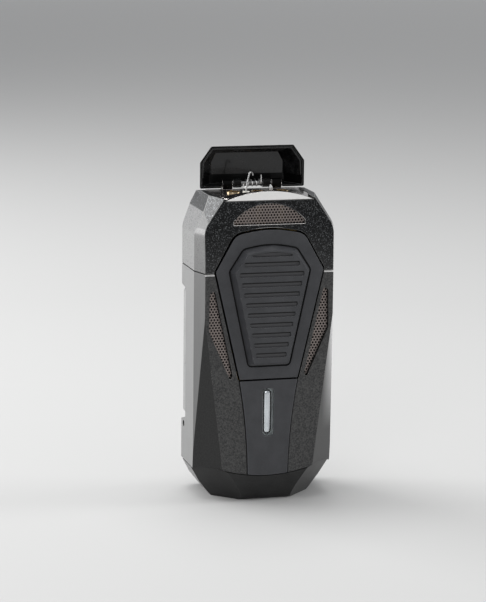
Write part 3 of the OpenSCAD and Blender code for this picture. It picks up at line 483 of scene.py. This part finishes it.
def makeLidBlack(name, edgeWearAndLight=False):
    f = Finish(name, Coat_Weight=0.6, Coat_Roughness=0.06, Specular_IOR_Level=0.5)
    smear = f.noise(2.4, 4, 0.7)
    smeared = f.spread(smear, 0.45, 0.75) * 0.5
    f.set("Base Color", f.mix(smeared, (0.004, 0.004, 0.004), (0.03, 0.03, 0.031)))
    f.set("Roughness", 0.10 + f.spread(smear, 0.4, 0.7) * 0.25)
    f.relief(f.noise(1.6, 3), 0.03, 0.35)
    return f.material


def makeWindowClear(name, edgeWearAndLight=False):
    f = Finish(name, IOR=1.30, Transmission_Weight=1.0)
    mark = f.noise(0.7, 4, 0.6, (1, 1, 0.2))
    f.set("Base Color", f.mix(mark, (0.86, 0.90, 0.93), (0.97, 0.98, 1.0)))
    f.set("Roughness", 0.02 + f.spread(mark, 0.4, 0.8) * 0.08)
    return f.material


makers = {
    "head_metal": makeFlakePaint, "lid_metal": makeFlakePaint, "housing_metal": makePowderCoat,
    "lid_black": makeLidBlack, "window_clear": makeWindowClear,
    **{name: makePlastic for name in softPlastics}, **{name: makeMetal for name in metals},
}
# each listed finish gets an edge variant for its bevels: paler worn edges, and on some parts painted highlights
# and painted shade along particular edges
wearAndLightEdges = ("head_metal", "lid_metal", "housing_metal", "cap_coat", "slate_plastic", "deck_chrome", "leaf_steel")
finishes = {name: make(name) for name, make in makers.items()}
edgeFinishes = {name: makers[name](name + "_edge", edgeWearAndLight=True) for name in wearAndLightEdges}
for node in nodes.values():
    slotName = node.material_slots[0].material.name.split(".")[0]
    node["slotName"] = slotName
    for spot in node.material_slots:
        spot.material = finishes[slotName]
print("finishes ready:", len(finishes), "and", len(edgeFinishes), "edges")


# node: width in mm, smallest angle in degrees, segments
softEdges = {
    "head_shell": (0.16, 14, 2),
    "housing": (0.16, 14, 2),
    "bottom_cap": (0.30, 14, 3),
    "front_panel": (0.14, 30, 2),
    "trigger_frame": (0.16, 30, 2),
    "thumb_pad": (0.22, 30, 3),
    "burner_deck": (0.10, 30, 2),
    "lid_shell": (0.08, 40, 2),
    "lid_liner": (0.05, 40, 1),
    "leaf": (0.20, 30, 2),
    "leaf_blade": (0.04, 30, 1),
    "flame_dial": (0.08, 40, 1),
    "base_screws": (0.08, 40, 2),
    "manifold": (0.2, 30, 2),
    "chassis": (0.15, 30, 2),
    "piezo_body": (0.2, 30, 2),
    "piezo_plunger": (0.15, 30, 2),
    "fuel_tank": (0.25, 30, 2),
    "jet_left": (0.06, 40, 2),
    "jet_centre": (0.06, 40, 2),
    "jet_right": (0.06, 40, 2),
}


# one closed skin from faces that the frame keeps apart
def joinFaces(obj):
    normals = obj.data.attributes.get("custom_normal")
    if normals:
        obj.data.attributes.remove(normals)
    obj.modifiers.new("join", "WELD").merge_threshold = 0.002 * mm


def softenEdges(name, width, angle, segments):
    obj = nodes[name]
    joinFaces(obj)
    for face in obj.data.polygons:
        face.use_smooth = True
    flat = obj.modifiers.new("flatten", "DECIMATE")
    flat.decimate_type = "DISSOLVE"
    flat.angle_limit = math.radians(0.5)
    edge = obj.modifiers.new("edge", "BEVEL")
    edge.width = width * mm
    edge.segments = segments
    edge.limit_method = "ANGLE"
    edge.angle_limit = math.radians(angle)
    edge.harden_normals = True
    edge.miter_outer = "MITER_ARC"
    if obj["slotName"] in edgeFinishes:
        obj.data.materials.append(edgeFinishes[obj["slotName"]])
        edge.material = 1


for name, sizes in softEdges.items():
    softenEdges(name, *sizes)
print("edges softened on", len(softEdges), "nodes")


def newPiece(name, mesh, material, slotName, *replaced):
    obj = bpy.data.objects.new(name, mesh)
    bpy.context.scene.collection.objects.link(obj)
    obj.data.materials.clear()
    obj.data.materials.append(material)
    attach(obj, "case")
    if replaced:
        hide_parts(*replaced)
    return obj


def fromBmesh(name, bm, smooth=False):
    bmesh.ops.recalc_face_normals(bm, faces=bm.faces)
    mesh = bpy.data.meshes.new(name)
    for face in bm.faces:
        face.smooth = smooth
    bm.to_mesh(mesh)
    bm.free()
    return mesh


def withModifiers(obj):
    bpy.context.view_layer.update()
    graph = bpy.context.evaluated_depsgraph_get()
    return bpy.data.meshes.new_from_object(obj.evaluated_get(graph))


sheets = {
    "pitch": 0.74,              # mm between holes in a row
    "hole": 0.26,               # mm radius
    "sides": 8,
    "pieces": {
        "head_vent_sheet": "head_vent_mesh",
        "left_vent_sheet": "left_vent_mesh",
        "right_vent_sheet": "right_vent_mesh",
    },
}


def makeSheet(name, node, s):
    low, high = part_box(node)
    pitch, radius = s["pitch"] * mm, s["hole"] * mm
    bm = bmesh.new()
    row = 0
    z = low.z + 0.1 * mm
    while z < high.z:
        x = low.x + (row % 2) * pitch / 2
        while x < high.x:
            turn = Matrix.Translation((x, (low.y + high.y) / 2, z)) @ Matrix.Rotation(math.pi / 2, 4, "X")
            bmesh.ops.create_cone(
                bm, cap_ends=True, segments=s["sides"], radius1=radius, radius2=radius,
                depth=(high.y - low.y) * 3, matrix=turn)
            x += pitch
        z += pitch * math.sqrt(3) / 2
        row += 1
    punch = bpy.data.objects.new("punch", fromBmesh("punch", bm))
    blank = bpy.data.objects.new("blank", nodes[node].data.copy())
    for obj in (punch, blank):
        bpy.context.scene.collection.objects.link(obj)
    joinFaces(blank)
    cut = blank.modifiers.new("holes", "BOOLEAN")
    cut.operation = "DIFFERENCE"
    cut.solver = "EXACT"
    cut.object = punch
    mesh = withModifiers(blank)
    for face in mesh.polygons:
        face.use_smooth = False
    for obj in (punch, blank):
        bpy.data.objects.remove(obj)
    return newPiece(name, mesh, finishes["mesh_steel"], "mesh_steel", node)


for name, node in sheets["pieces"].items():
    made = makeSheet(name, node, sheets)
    print(name, len(made.data.polygons), "faces")


# Silver tube behind the fuel window, in mm
fuelTube = {"radius": 1.0, "flat": 0.45, "behind": 0.62, "ends": 0.35, "aside": -0.14}


def makeFuelTube(t):
    low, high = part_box("window_lens")
    reach = (high.z - low.z) / 2 - (t["radius"] + t["ends"]) * mm
    middle = (low + high) / 2
    middle.x += t["aside"] * mm
    middle.y = low.y + t["behind"] * mm
    bm = bmesh.new()
    bmesh.ops.create_uvsphere(bm, u_segments=32, v_segments=17, radius=t["radius"] * mm)
    for v in bm.verts:
        v.co.y *= t["flat"]
        v.co.z += math.copysign(reach, v.co.z)
        v.co += middle
    newPiece("fuel_tube", fromBmesh("fuel_tube", bm, True), finishes["window_silver"], "deck_chrome")
    print("fuel tube in place")


makeFuelTube(fuelTube)

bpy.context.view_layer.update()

floorMesh = bpy.data.meshes.new("floor")
half = studio["floorSize"] / 2
corners = [(-half, -half, 0), (half, -half, 0), (half, half, 0), (-half, half, 0)]
floorMesh.from_pydata(corners, [], [(0, 1, 2, 3)])
floor = bpy.data.objects.new("floor", floorMesh)
bpy.context.scene.collection.objects.link(floor)
floorFinish = Finish("floor_pale", Roughness=0.7)
floorX, floorY, floorZ = floorFinish.spot()
# painted light and shade on the floor: mid grey near the lighter, growing paler towards near white far away
away = floorFinish.spread((floorX * floorX + floorY * floorY) ** 0.5, 0.25, 3)
floorFinish.set("Base Color", floorFinish.mix(away, studio["floorColor"], studio["farColor"]))
floorMesh.materials.append(floorFinish.material)
